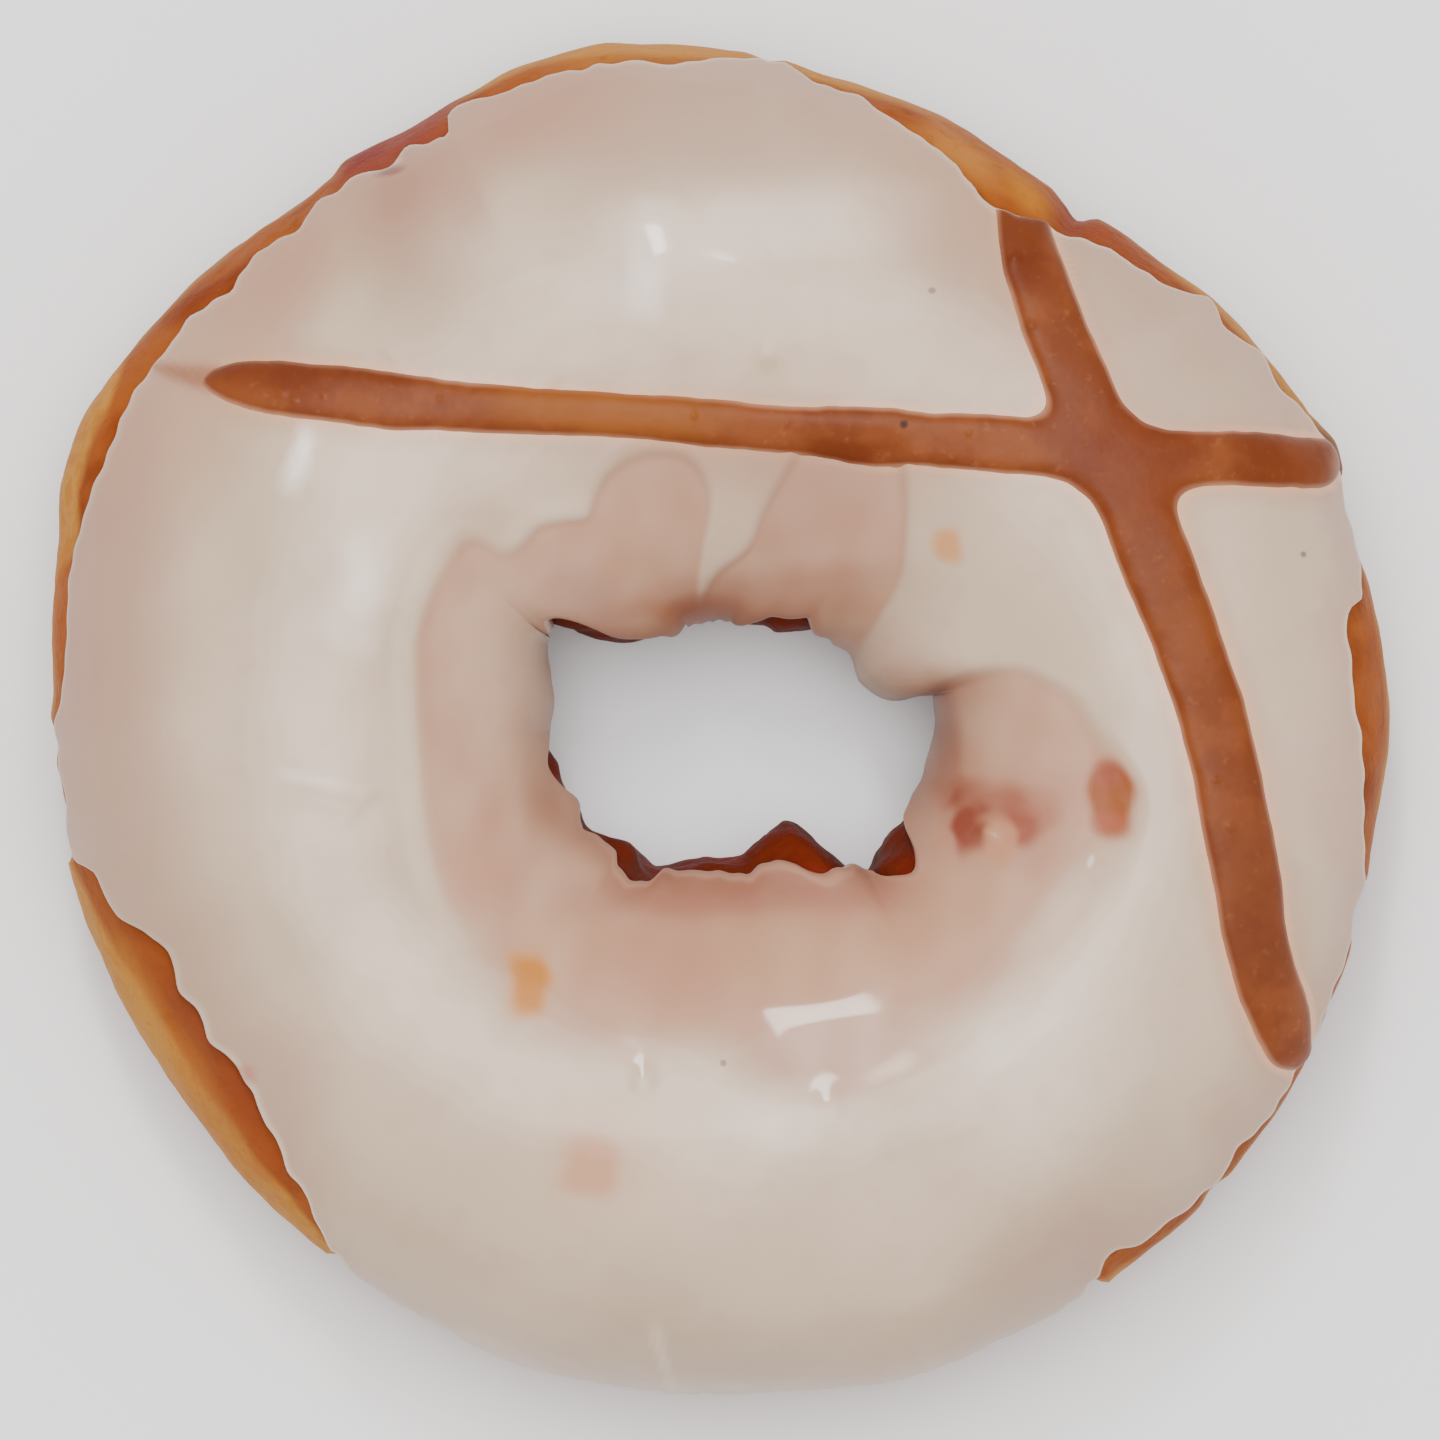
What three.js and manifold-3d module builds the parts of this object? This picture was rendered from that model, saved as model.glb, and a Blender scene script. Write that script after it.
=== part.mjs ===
// Fondant ring doughnut, lying on its base: a fried dough ring with a flat foot,
// and a white fondant icing over its upper side that carries two caramel lines.
// Millimetres. +X and +Y as seen from above, +Z up, the foot at z = 0.
import * as THREE from 'three';
import { ParametricGeometry } from 'three/addons/geometries/ParametricGeometry.js';
import { mergeVertices } from 'three/addons/utils/BufferGeometryUtils.js';
import Module from 'manifold-3d';

const wasm = await Module();
wasm.setup();

const degree = Math.PI / 180;

// Dough ring. A wave is [mean, cosine, sine, cosine of twice the angle].
const outerMean = 48;
const crownWave = [29.4, 0.7, -0.9, 1.2];
const holeWave = [10.9, 1.5, -1.6, 2.6];
const waistHeight = 13.9;
const halfHeight = 15.2;
const boxiness = 2.3;
const detailPower = 3;

// Outline from above, as [angle in degrees, radius].
const outline = closedCurve([
  [0, 47.8], [15, 47.2], [24, 47.9], [35, 46.7], [47, 45.5], [51, 45.0], [55, 43.9],
  [60, 45.1], [72, 46.1], [82, 46.8], [90, 47.9], [100, 49.0], [112, 48.2], [128, 47.7],
  [140, 48.9], [150, 50.1], [156, 50.4], [165, 49.1], [180, 47.5], [200, 47.7],
  [213, 47.1], [230, 47.7], [245, 47.9], [256, 48.6], [272, 48.4], [290, 49.0],
  [304, 48.7], [318, 48.9], [330, 48.6], [345, 47.5],
]);

// Hole of the dough, as [angle in degrees, radius], with its torn points.
const doughHole = closedCurve([
  [0, 16.2], [8, 15.0], [14, 13.8], [22, 12.4], [30, 11.0], [40, 9.5], [50, 8.1],
  [60, 7.2], [75, 6.8], [88, 7.3], [100, 7.4], [115, 7.1], [125, 7.1], [135, 7.6],
  [143, 8.9], [148, 11.0], [153, 13.5], [160, 13.9], [175, 12.9], [186, 12.9], [200, 12.0],
  [222, 11.8], [233, 11.0], [246, 11.4], [252, 11.2], [257, 10.1], [275, 9.9],
  [295, 8.7], [301, 8.4], [305, 9.4], [311, 12.9], [316, 14.3], [325, 14.7],
  [336, 14.9], [344, 15.4], [352, 15.9],
]);

// Dough left bare between the icing and the outline, as [angle, width].
// A width below zero takes the icing over the waist.
const bareRim = closedCurve([
  [0, 2.4], [8, 2.2], [14, 0.4], [21, 0.0], [26, 0.2], [31, 1.2], [45, 0.9],
  [54, 2.3], [61, 3.7], [69, 2.4], [76, 1.0], [88, 0.6], [100, 1.3], [111, 0.6],
  [118, 1.9], [125, 1.1], [133, 1.8], [138, 1.3], [157, 1.8], [166, 1.0], [180, 0.4],
  [186, 0.9], [191, 0.3], [196, 1.0], [203, 3.8], [218, 4.0], [226, 2.8], [231, 1.2], [236, 0.1],
  [243, -0.5], [250, -0.8], [286, -0.8], [295, -0.4], [302, 0.6], [312, 1.0],
  [326, 1.0], [338, 0.4], [347, 0.7],
]);

// Dough left bare inside the hole, as [angle, width].
const bareHole = closedCurve([
  [0, -0.6], [35, -0.5], [45, 0.4], [53, 1.2], [72, 0.7], [87, -0.3], [112, -0.4],
  [120, 0.4], [137, 0.5], [145, 1.1], [151, 0.6], [158, 0.1], [166, -0.5], [184, -0.5],
  [197, 0.9], [215, 0.8], [237, 2.0], [256, 1.3], [268, 1.3], [288, 1.4], [301, 2.9],
  [306, 2.6], [311, 1.0], [316, 1.0], [324, 3.2], [332, 2.2], [340, 0.6], [346, -0.5],
]);

// Inner border of the thick coat, as [angle, radius]; the icing is thin inside it.
const coatBorder = closedCurve([
  [4, 25.3], [8, 22.5], [10, 19.0], [12, 13.9], [15, 8.0], [24, 8.0], [30, 11.9],
  [38, 16.2], [53, 21.5], [65, 21.0], [75, 19.0], [81, 13.3], [91, 11.4], [96, 13.0],
  [98, 19.0], [104, 20.1], [117, 19.5], [125, 17.8], [138, 19.0], [145, 22.4],
  [177, 22.3], [195, 22.7], [220, 24.2], [244, 26.2], [264, 22.9], [290, 27.2],
  [303, 26.0], [334, 26.8], [349, 30.0], [355, 28.0],
]);

// Icing.
const gap = 0.35;
const coatThickness = 1.5;
const coatSlump = 0.3;
const thinThickness = 0.9;
const borderRamp = 1.6;
const edgeRounding = 1.3;
const rimReach = 1.0;
const holeReach = 0.7;
const sectionRadius = 17;
const edgeEase = 0.6;
const overhangRamp = 0.6;
const levelRim = 20 * degree;
const levelHole = 165 * degree;

// Sag of icing hanging into the hole.
const sag = { angle: 20, angleWidth: 8, side: 172, sideWidth: 32, lift: 2.1 };

// Caramel lines in plan, as [x, y, half width], and the pool where they cross.
const lineAcross = [
  [-38.0, 24.3, 0.5], [-35.6, 24.1, 1.2], [-32.6, 24.0, 1.6], [-24.2, 22.9, 1.9],
  [-7.1, 21.9, 1.5], [12.4, 20.3, 1.6], [19.2, 19.6, 1.8], [29.1, 18.9, 2.0],
  [34.6, 18.7, 1.6], [40.4, 18.6, 1.5], [43.6, 18.2, 1.2],
];
const lineDown = [
  [21.2, 36.2, 1.4], [22.9, 30.9, 1.4], [24.4, 26.3, 1.6], [26.3, 22.1, 2.0],
  [29.1, 18.9, 2.5], [30.5, 12.9, 2.2], [32.5, 7.6, 2.2], [35.9, -3.2, 2.3],
  [37.2, -10.0, 2.3], [38.4, -16.6, 2.1], [39.9, -21.5, 1.5], [40.5, -23.9, 0.5],
];
const lineRise = 0.9;
const lineRoot = 0.6;
const pool = { x: 29.1, y: 18.9, radius: 3.3 };

// Facets.
const ringSteps = 112;
const doughSteps = 24;
const topSteps = 16;
const underSteps = 12;
const lineSteps = 9;
const lineStation = 2.1;
const poolSteps = 16;
const normalStep = 2 * degree;
const edgeCrowding = 0.9;
const searchSteps = 24;
const weld = 1e-4;

// Smooth closed curve through [angle, value] knots that never overshoots them.
function closedCurve(knots) {
  const count = knots.length;
  const width = (k) => {
    const turn = knots[(k + 1) % count][0] - knots[k % count][0];
    return turn > 0 ? turn : turn + 360;
  };
  const slope = (k) => (knots[(k + 1) % count][1] - knots[k % count][1]) / width(k);
  const tangents = knots.map((knot, k) => {
    const before = (k + count - 1) % count;
    const left = slope(before);
    const right = slope(k);
    if (left * right <= 0) return 0;
    const leftWeight = 2 * width(k) + width(before);
    const rightWeight = width(k) + 2 * width(before);
    return (leftWeight + rightWeight) / (leftWeight / left + rightWeight / right);
  });
  return (angle) => {
    const turn = ((angle / degree - knots[0][0]) % 360 + 360) % 360;
    let k = 0;
    let start = 0;
    while (k < count - 1 && start + width(k) <= turn) {
      start += width(k);
      k += 1;
    }
    const h = width(k);
    const t = (turn - start) / h;
    const next = (k + 1) % count;
    return (1 + 2 * t) * (1 - t) ** 2 * knots[k][1]
      + t * (1 - t) ** 2 * h * tangents[k]
      + t * t * (3 - 2 * t) * knots[next][1]
      + t * t * (t - 1) * h * tangents[next];
  };
}

function wave(angle, [mean, cosine, sine, twice]) {
  return mean + cosine * Math.cos(angle) + sine * Math.sin(angle)
    + twice * Math.cos(2 * angle);
}

function ramp(value, low, high) {
  return THREE.MathUtils.smoothstep(value, low, high);
}

// Flat-topped bell of height one, fallen to a third at the width.
function bell(distance, width) {
  return Math.exp(-((distance / width) ** 4));
}

function angleBetween(angle, other) {
  return Math.atan2(Math.sin(angle - other), Math.cos(angle - other));
}

// Where the icing hangs over the waist the dough stands in by its thickness.
function doughOutline(angle) {
  const covered = 1 - ramp(bareRim(angle), 0, overhangRamp);
  return outline(angle) - (gap + coatThickness * (1 - coatSlump)) * covered;
}

// Point of the dough. Side 0 is the outer waist, 90 degrees the crown.
function doughPoint(angle, side) {
  const c = Math.cos(side);
  const s = Math.sin(side);
  const reach = (Math.abs(c) ** boxiness + Math.abs(s) ** boxiness) ** (-1 / boxiness);
  const across = reach * c;
  const crown = wave(angle, crownWave);
  const mean = across > 0 ? outerMean : wave(angle, holeWave);
  const edge = across > 0 ? doughOutline(angle) : doughHole(angle);
  const detail = (edge - mean) * Math.abs(across) ** detailPower;
  const radius = crown + Math.abs(mean - crown) * across + detail;
  const height = Math.max(0, waistHeight + halfHeight * reach * s);
  return new THREE.Vector3(radius * Math.cos(angle), radius * Math.sin(angle), height);
}

function doughNormal(angle, side) {
  const around = doughPoint(angle + normalStep, side);
  around.sub(doughPoint(angle - normalStep, side));
  const up = doughPoint(angle, side + normalStep);
  up.sub(doughPoint(angle, side - normalStep));
  return around.cross(up).normalize();
}

function lifted(angle, side, lift) {
  return doughPoint(angle, side).addScaledVector(doughNormal(angle, side), lift);
}

// Side at which the dough stands in from its widest by the inset, eased where
// the edge passes the waist.
function bareSide(inset, halfWidth) {
  const across = 1 - Math.abs(inset) ** 3 / (inset ** 2 + edgeEase ** 2) / halfWidth;
  const up = (1 - across ** boxiness) ** (1 / boxiness);
  return Math.atan2(Math.sign(inset) * up, across);
}

function rimSide(angle) {
  return bareSide(bareRim(angle) + rimReach, outline(angle) - wave(angle, crownWave));
}

function holeSide(angle) {
  const halfWidth = wave(angle, crownWave) - doughHole(angle);
  return Math.PI - bareSide(bareHole(angle) + holeReach, halfWidth);
}

// Side of a row of the icing; away from its edges it runs level round the ring.
function rowSide(angle, along) {
  const rimShift = (rimSide(angle) - levelRim) * (1 - along) ** 3;
  const holeShift = (holeSide(angle) - levelHole) * along ** 3;
  return levelRim + (levelHole - levelRim) * along + rimShift + holeShift;
}

function icingThickness(angle, side) {
  const point = doughPoint(angle, side);
  const radius = Math.hypot(point.x, point.y);
  const border = coatBorder(angle);
  const coat = ramp(radius, border - borderRamp / 2, border + borderRamp / 2);
  const thick = coatThickness * (1 - coatSlump * Math.abs(Math.cos(side)));
  const turn = angleBetween(angle, sag.angle * degree) / degree;
  const hang = bell(turn, sag.angleWidth) * bell(side / degree - sag.side, sag.sideWidth);
  return thinThickness + (thick - thinThickness) * coat + sag.lift * hang;
}

function edgeRound(distance) {
  const inward = 1 - Math.min(1, Math.max(0, distance / edgeRounding));
  return Math.sqrt(1 - inward * inward);
}

// Icing section: over the top from the rim to the hole, then back underneath.
function icingPoint(angle, row) {
  const rim = rimSide(angle);
  const hole = holeSide(angle);
  if (row > topSteps) {
    const back = (row - topSteps) / underSteps;
    return lifted(angle, rowSide(angle, 1 - back), gap);
  }
  const part = row / topSteps;
  const along = part - edgeCrowding * Math.sin(2 * Math.PI * part) / (2 * Math.PI);
  const side = rowSide(angle, along);
  const nearest = Math.min(side - rim, hole - side) * sectionRadius;
  return lifted(angle, side, gap + icingThickness(angle, side) * edgeRound(nearest));
}

// Point at the given height above the icing, found from its place in plan.
function overIcing(x, y, height) {
  const angle = Math.atan2(y, x);
  const radius = Math.hypot(x, y);
  const at = (side) => lifted(angle, side, gap + icingThickness(angle, side));
  let low = 0;
  let high = Math.PI;
  for (let step = 0; step < searchSteps; step += 1) {
    const middle = (low + high) / 2;
    const point = at(middle);
    if (Math.hypot(point.x, point.y) > radius) low = middle;
    else high = middle;
  }
  return at(low).addScaledVector(doughNormal(angle, low), height);
}

// Surface of two parameters that meets itself, welded where it does.
function closedSurface(pointAt, slices, stacks) {
  const surface = new ParametricGeometry(pointAt, slices, stacks);
  surface.deleteAttribute('normal');
  surface.deleteAttribute('uv');
  return mergeVertices(surface, weld);
}

function toManifold(geometry) {
  return new wasm.Manifold(new wasm.Mesh({
    numProp: 3,
    vertProperties: new Float32Array(geometry.attributes.position.array),
    triVerts: new Uint32Array(geometry.index.array),
  }));
}

function toGeometry(manifold) {
  const mesh = manifold.getMesh();
  const geometry = new THREE.BufferGeometry();
  geometry.setAttribute('position', new THREE.BufferAttribute(mesh.vertProperties, 3));
  geometry.setIndex(new THREE.BufferAttribute(mesh.triVerts, 1));
  geometry.computeVertexNormals();
  return geometry;
}

// Oval bead: the half above the icing rises, the half below roots the line in it.
function beadHeight(turn) {
  const rise = Math.sin(turn);
  return rise > 0 ? lineRise * rise : lineRoot * rise;
}

// Bead laid along a plan path of changing width, drawn to a point at each end.
function caramelLine(places) {
  const path = new THREE.CatmullRomCurve3(places.map(([x, y]) => new THREE.Vector3(x, y, 0)));
  const widths = new THREE.CatmullRomCurve3(
    places.map(([x, y, half], k) => new THREE.Vector3(k, half, 0)),
  );
  const stations = Math.round(path.getLength() / lineStation);
  const surface = closedSurface((u, v, target) => {
    const middle = path.getPoint(u);
    const tangent = path.getTangent(u);
    const endTaper = u === 0 || u === 1 ? 0 : 1;
    const half = widths.getPoint(u).y * endTaper;
    const turn = -2 * Math.PI * v;
    const off = half * Math.cos(turn);
    const x = middle.x - tangent.y * off;
    const y = middle.y + tangent.x * off;
    target.copy(overIcing(x, y, beadHeight(turn) * endTaper));
  }, stations, lineSteps);
  return toManifold(surface);
}

// Low round pool that fills the corners of the crossing.
function caramelPool() {
  const surface = closedSurface((u, v, target) => {
    const turn = 2 * Math.PI * u;
    const tip = Math.PI * (v - 0.5);
    const off = pool.radius * Math.cos(tip);
    const x = pool.x + off * Math.cos(turn);
    const y = pool.y + off * Math.sin(turn);
    target.copy(overIcing(x, y, beadHeight(tip)));
  }, poolSteps, poolSteps / 2);
  return toManifold(surface);
}

const dough = new THREE.Mesh(
  closedSurface((u, v, target) => {
    target.copy(doughPoint(2 * Math.PI * u, 2 * Math.PI * v));
  }, ringSteps, doughSteps),
  new THREE.MeshStandardMaterial({ color: 0xb4703a, roughness: 0.7, metalness: 0 }),
);
dough.name = 'dough';
dough.geometry.computeVertexNormals();

const icingBody = toManifold(closedSurface((u, v, target) => {
  target.copy(icingPoint(2 * Math.PI * u, v * (topSteps + underSteps)));
}, ringSteps, topSteps + underSteps));

const icing = new THREE.Mesh(
  toGeometry(icingBody.add(caramelLine(lineAcross)).add(caramelLine(lineDown)).add(caramelPool())),
  new THREE.MeshStandardMaterial({ color: 0xcec2b7, roughness: 0.25, metalness: 0 }),
);
icing.name = 'fondant_icing';

const group = new THREE.Group();
group.name = 'fondant_ring_doughnut';
group.add(dough, icing);

export default group;
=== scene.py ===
import math

import bpy
import numpy as np
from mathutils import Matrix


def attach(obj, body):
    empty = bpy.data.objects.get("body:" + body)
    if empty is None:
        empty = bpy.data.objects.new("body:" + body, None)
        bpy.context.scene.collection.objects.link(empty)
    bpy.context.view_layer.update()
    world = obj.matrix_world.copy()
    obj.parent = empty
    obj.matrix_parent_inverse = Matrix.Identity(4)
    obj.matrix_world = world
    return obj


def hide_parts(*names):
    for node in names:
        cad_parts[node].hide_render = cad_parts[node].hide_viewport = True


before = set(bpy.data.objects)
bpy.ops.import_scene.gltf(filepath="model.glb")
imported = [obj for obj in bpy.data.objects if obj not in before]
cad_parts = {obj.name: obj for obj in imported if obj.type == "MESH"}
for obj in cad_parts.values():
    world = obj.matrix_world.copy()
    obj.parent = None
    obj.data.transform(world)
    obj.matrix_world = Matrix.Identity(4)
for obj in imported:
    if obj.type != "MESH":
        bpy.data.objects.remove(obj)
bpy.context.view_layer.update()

print("frame loaded")

# all sizes below are in millimetres, and the angles of the tables in degrees
mm = 0.001
degree = math.pi / 180
tiny = 1e-12
# swells that make spots' edges ragged: their lengths, the half width below which a spot takes the small
# ones, and the part of its size that they reach
spotEdge = {"smallSwell": 2.6, "broadSwell": 7, "smallSpot": 3.5, "ragged": 0.3}


def closedCurve(knots):
    # cubic pieces through [angle, value] knots round a circle; a knot's slope is the weighted harmonic
    # mean of those beside it, and nothing at a peak or a dip
    place, value = np.array(knots, float).T
    width = np.diff(np.r_[place, place[0] + 360.0])
    slope = (np.roll(value, -1) - value) / width
    before, widthBefore = np.roll(slope, 1), np.roll(width, 1)
    tangent = np.zeros(len(place))
    rising = before * slope > 0
    tangent[rising] = (3 * (width + widthBefore))[rising] / (
        (2 * width + widthBefore)[rising] / before[rising]
        + (width + 2 * widthBefore)[rising] / slope[rising])

    def at(angle):
        turn = (np.degrees(angle) - place[0]) % 360.0
        k = np.clip(np.searchsorted(place - place[0], turn, "right") - 1, 0, len(place) - 1)
        t = (turn - (place[k] - place[0])) / width[k]
        after = (k + 1) % len(place)
        return ((1 + 2 * t) * (1 - t) ** 2 * value[k] + t * (1 - t) ** 2 * width[k] * tangent[k]
                + t * t * (3 - 2 * t) * value[after] + t * t * (t - 1) * width[k] * tangent[after])
    return at


def wave(angle, parts):
    # mean + cosine and sine of the angle + cosine of twice the angle
    mean, cosine, sine, twice = parts
    return mean + cosine * np.cos(angle) + sine * np.sin(angle) + twice * np.cos(2 * angle)


def ramp(value, low, high):
    # 0 below low, 1 above high, 3t^2 - 2t^3 between
    t = np.clip((value - low) / (high - low), 0, 1)
    return t * t * (3 - 2 * t)


def bell(distance, width):
    # flat-topped bell, e to minus the fourth power of the ratio
    return np.exp(-(distance / width) ** 4)


def turnBetween(angle, other):
    # signed turn from other to angle, in degrees
    return np.degrees(np.arctan2(np.sin(angle - other), np.cos(angle - other)))


def onArc(angle, arc):
    # 1 on an arc given by its middle and half width in degrees, 0 away from it
    middle, halfWidth = arc
    return bell(turnBetween(angle, middle * degree), halfWidth)


def turned(x, y, turn):
    # x and y along axes turned by the turn in degrees
    c, s = math.cos(turn * degree), math.sin(turn * degree)
    return x * c + y * s, y * c - x * s


def swell(points, length, seed, waves=9):
    # sine waves in random directions, 0.7 to 1.5 times the length long, that add up to about -1..1
    dice = np.random.default_rng(seed)
    total = np.zeros(points.shape[:-1])
    for _ in range(waves):
        direction = dice.normal(size=3)
        direction /= np.linalg.norm(direction)
        turns = 2 * math.pi / (length * dice.uniform(0.7, 1.5))
        total += np.sin(points @ direction * turns + dice.uniform(0, 2 * math.pi))
    return total / math.sqrt(waves) * 0.8


def twoSwells(points, lengths, seed, second):
    # a swell of the first length plus a part of one of the second
    return swell(points, lengths[0], seed) + second * swell(points, lengths[1], seed + 1)


def smoothPath(places, steps, closed):
    # cubics through the places, with a slope at each of half the step between the places beside it
    p = np.array(places, float)
    if closed:
        p = np.concatenate([p[-1:], p, p[:2]])
    else:
        p = np.concatenate([2 * p[:1] - p[1:2], p, 2 * p[-1:] - p[-2:-1]])
    a, b, c, d = (p[k:len(p) - 3 + k, None, :] for k in range(4))
    t = np.linspace(0, 1, steps, endpoint=False)[None, :, None]
    curve = b + 0.5 * t * (c - a + t * (2 * a - 5 * b + 4 * c - d + t * (3 * (b - c) + d - a)))
    curve = curve.reshape(-1, p.shape[1])
    return curve if closed else np.concatenate([curve, p[-2:-1]])


def wayAlong(x, y, dx, dy):
    # share of a stretch (dx, dy), from its start, at which it comes nearest to x and y
    return np.clip((x * dx + y * dy) / (dx * dx + dy * dy + tiny), 0, 1)


def borderDistance(x, y, border):
    # distance to a closed border, above zero outside it; a point is inside when a level line from it
    # crosses the border an odd number of times
    nearest = np.full(x.shape, np.inf)
    inside = np.zeros(x.shape, bool)
    for (ax, ay), (bx, by) in zip(border, np.roll(border, -1, axis=0)):
        dx, dy = bx - ax, by - ay
        t = wayAlong(x - ax, y - ay, dx, dy)
        nearest = np.minimum(nearest, (x - ax - t * dx) ** 2 + (y - ay - t * dy) ** 2)
        crosses = (ay > y) != (by > y)
        inside ^= crosses & (x < ax + (y - ay) * dx / (dy if dy else tiny))
    return np.sqrt(nearest) * np.where(inside, -1, 1)


def lineDistance(x, y, line):
    # distance to the side of a line of changing half width: to the nearest point of its middle, less
    # the half width there
    nearest = np.full(x.shape, np.inf)
    for (ax, ay, aw), (bx, by, bw) in zip(line[:-1], line[1:]):
        dx, dy = bx - ax, by - ay
        t = wayAlong(x - ax, y - ay, dx, dy)
        away = np.hypot(x - ax - t * dx, y - ay - t * dy) - (aw + t * (bw - aw))
        nearest = np.minimum(nearest, away)
    return nearest


def joined(a, b, radius):
    # smallest of two distances, with a fillet of the radius where they meet
    h = np.clip(0.5 + 0.5 * (b - a) / radius, 0, 1)
    return b + (a - b) * h - radius * h * (1 - h)


def mixed(first, second, share):
    # first plus share of the way to second
    first = np.asarray(first, float)
    return first + (np.asarray(second, float) - first) * share[..., None]


def painted(points, spots):
    # colour and cover of spots painted one over the other: each is a rounded square in plan, where the
    # cubes of both ways over the half widths sum to one; its edge is soft parts of its size wide on both
    # sides and made ragged by swells
    small = swell(points, spotEdge["smallSwell"], seed=21)
    broad = swell(points, spotEdge["broadSwell"], seed=22)
    tint, cover = np.zeros(points.shape), np.zeros(points.shape[:-1])
    for x, y, halfX, halfY, turn, soft, tone, strength in spots:
        u, v = turned(points[..., 0] - x, points[..., 1] - y, turn)
        ragged = small if max(halfX, halfY) < spotEdge["smallSpot"] else broad
        ragged = ragged * min(spotEdge["ragged"], spotEdge["ragged"] * min(halfX, halfY))
        reach = (np.abs(u / halfX) ** 3 + np.abs(v / halfY) ** 3) ** (1 / 3)
        share = ramp(reach + ragged / min(halfX, halfY), 1 + soft, 1 - soft) * strength
        tint += (np.array(tone) - tint) * share[..., None]
        cover += (1 - cover) * share
    return {"tint": tint / np.maximum(cover, 1e-6)[..., None], "cover": cover}


def newObject(name, data):
    # a scene object that holds the data
    thing = bpy.data.objects.new(name, data)
    bpy.context.scene.collection.objects.link(thing)
    return thing


def makePiece(name, points, faces, fields, node, material):
    # a mesh that replaces a node of the frame, with a value or a colour a point for each field
    mesh = bpy.data.meshes.new(name)
    mesh.from_pydata((points.reshape(-1, 3) * mm).tolist(), [], faces.tolist())
    mesh.polygons.foreach_set("use_smooth", np.ones(len(mesh.polygons), bool))
    for field, values in fields.items():
        kind, key = ("FLOAT_VECTOR", "vector") if values.size > len(mesh.vertices) else ("FLOAT", "value")
        layer = mesh.attributes.new(field, kind, "POINT")
        layer.data.foreach_set(key, values.astype(np.float32).ravel())
    mesh.materials.append(material)
    mesh.update()
    piece = newObject(name, mesh)
    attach(piece, "root")
    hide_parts(node)


def evenAngles(count):
    # so many angles evenly round the circle
    return np.arange(count) * 2 * math.pi / count


def ringFaces(rings, rows):
    # squares of a grid that closes on itself both ways
    ring, row = np.meshgrid(np.arange(rings), np.arange(rows), indexing="ij")
    nextRing, nextRow = (ring + 1) % rings, (row + 1) % rows
    near, far = ring * rows, nextRing * rows
    return np.stack([near + row, far + row, far + nextRow, near + nextRow], -1).reshape(-1, 4)


def shellFaces(kept, rings, rows):
    # faces and points in use of a shell: an open grid's squares where kept is true, the same turned over
    # underneath, and a wall along every edge that only one square has
    ring, row = np.nonzero(kept)
    start = ring * rows + row
    top = np.stack([start, start + rows, start + rows + 1, start + 1], -1)
    edges = np.concatenate([top[:, [k, (k + 1) % 4]] for k in range(4)])
    count = rings * rows
    code, back = edges[:, 0] * count + edges[:, 1], edges[:, 1] * count + edges[:, 0]
    start, end = edges[~np.isin(code, back)].T
    wall = np.stack([end, start, start + count, end + count], -1)
    faces = np.concatenate([top, top[:, ::-1] + count, wall])
    used, place = np.unique(faces, return_inverse=True)
    return place.reshape(faces.shape), used


class Wire:
    # a node's output, so that a sum written with it adds a Math node
    def __init__(self, shader, socket):
        self.shader, self.socket = shader, socket

    def sum(self, operation, first, second):
        return self.shader.node("Math", {"operation": operation}, {0: first, 1: second})

    def __add__(self, other):
        return self.sum("ADD", self, other)

    def __radd__(self, other):
        return self.sum("ADD", other, self)

    def __sub__(self, other):
        return self.sum("SUBTRACT", self, other)

    def __rsub__(self, other):
        return self.sum("SUBTRACT", other, self)

    def __mul__(self, other):
        return self.sum("MULTIPLY", self, other)

    def __rmul__(self, other):
        return self.sum("MULTIPLY", other, self)


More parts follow.
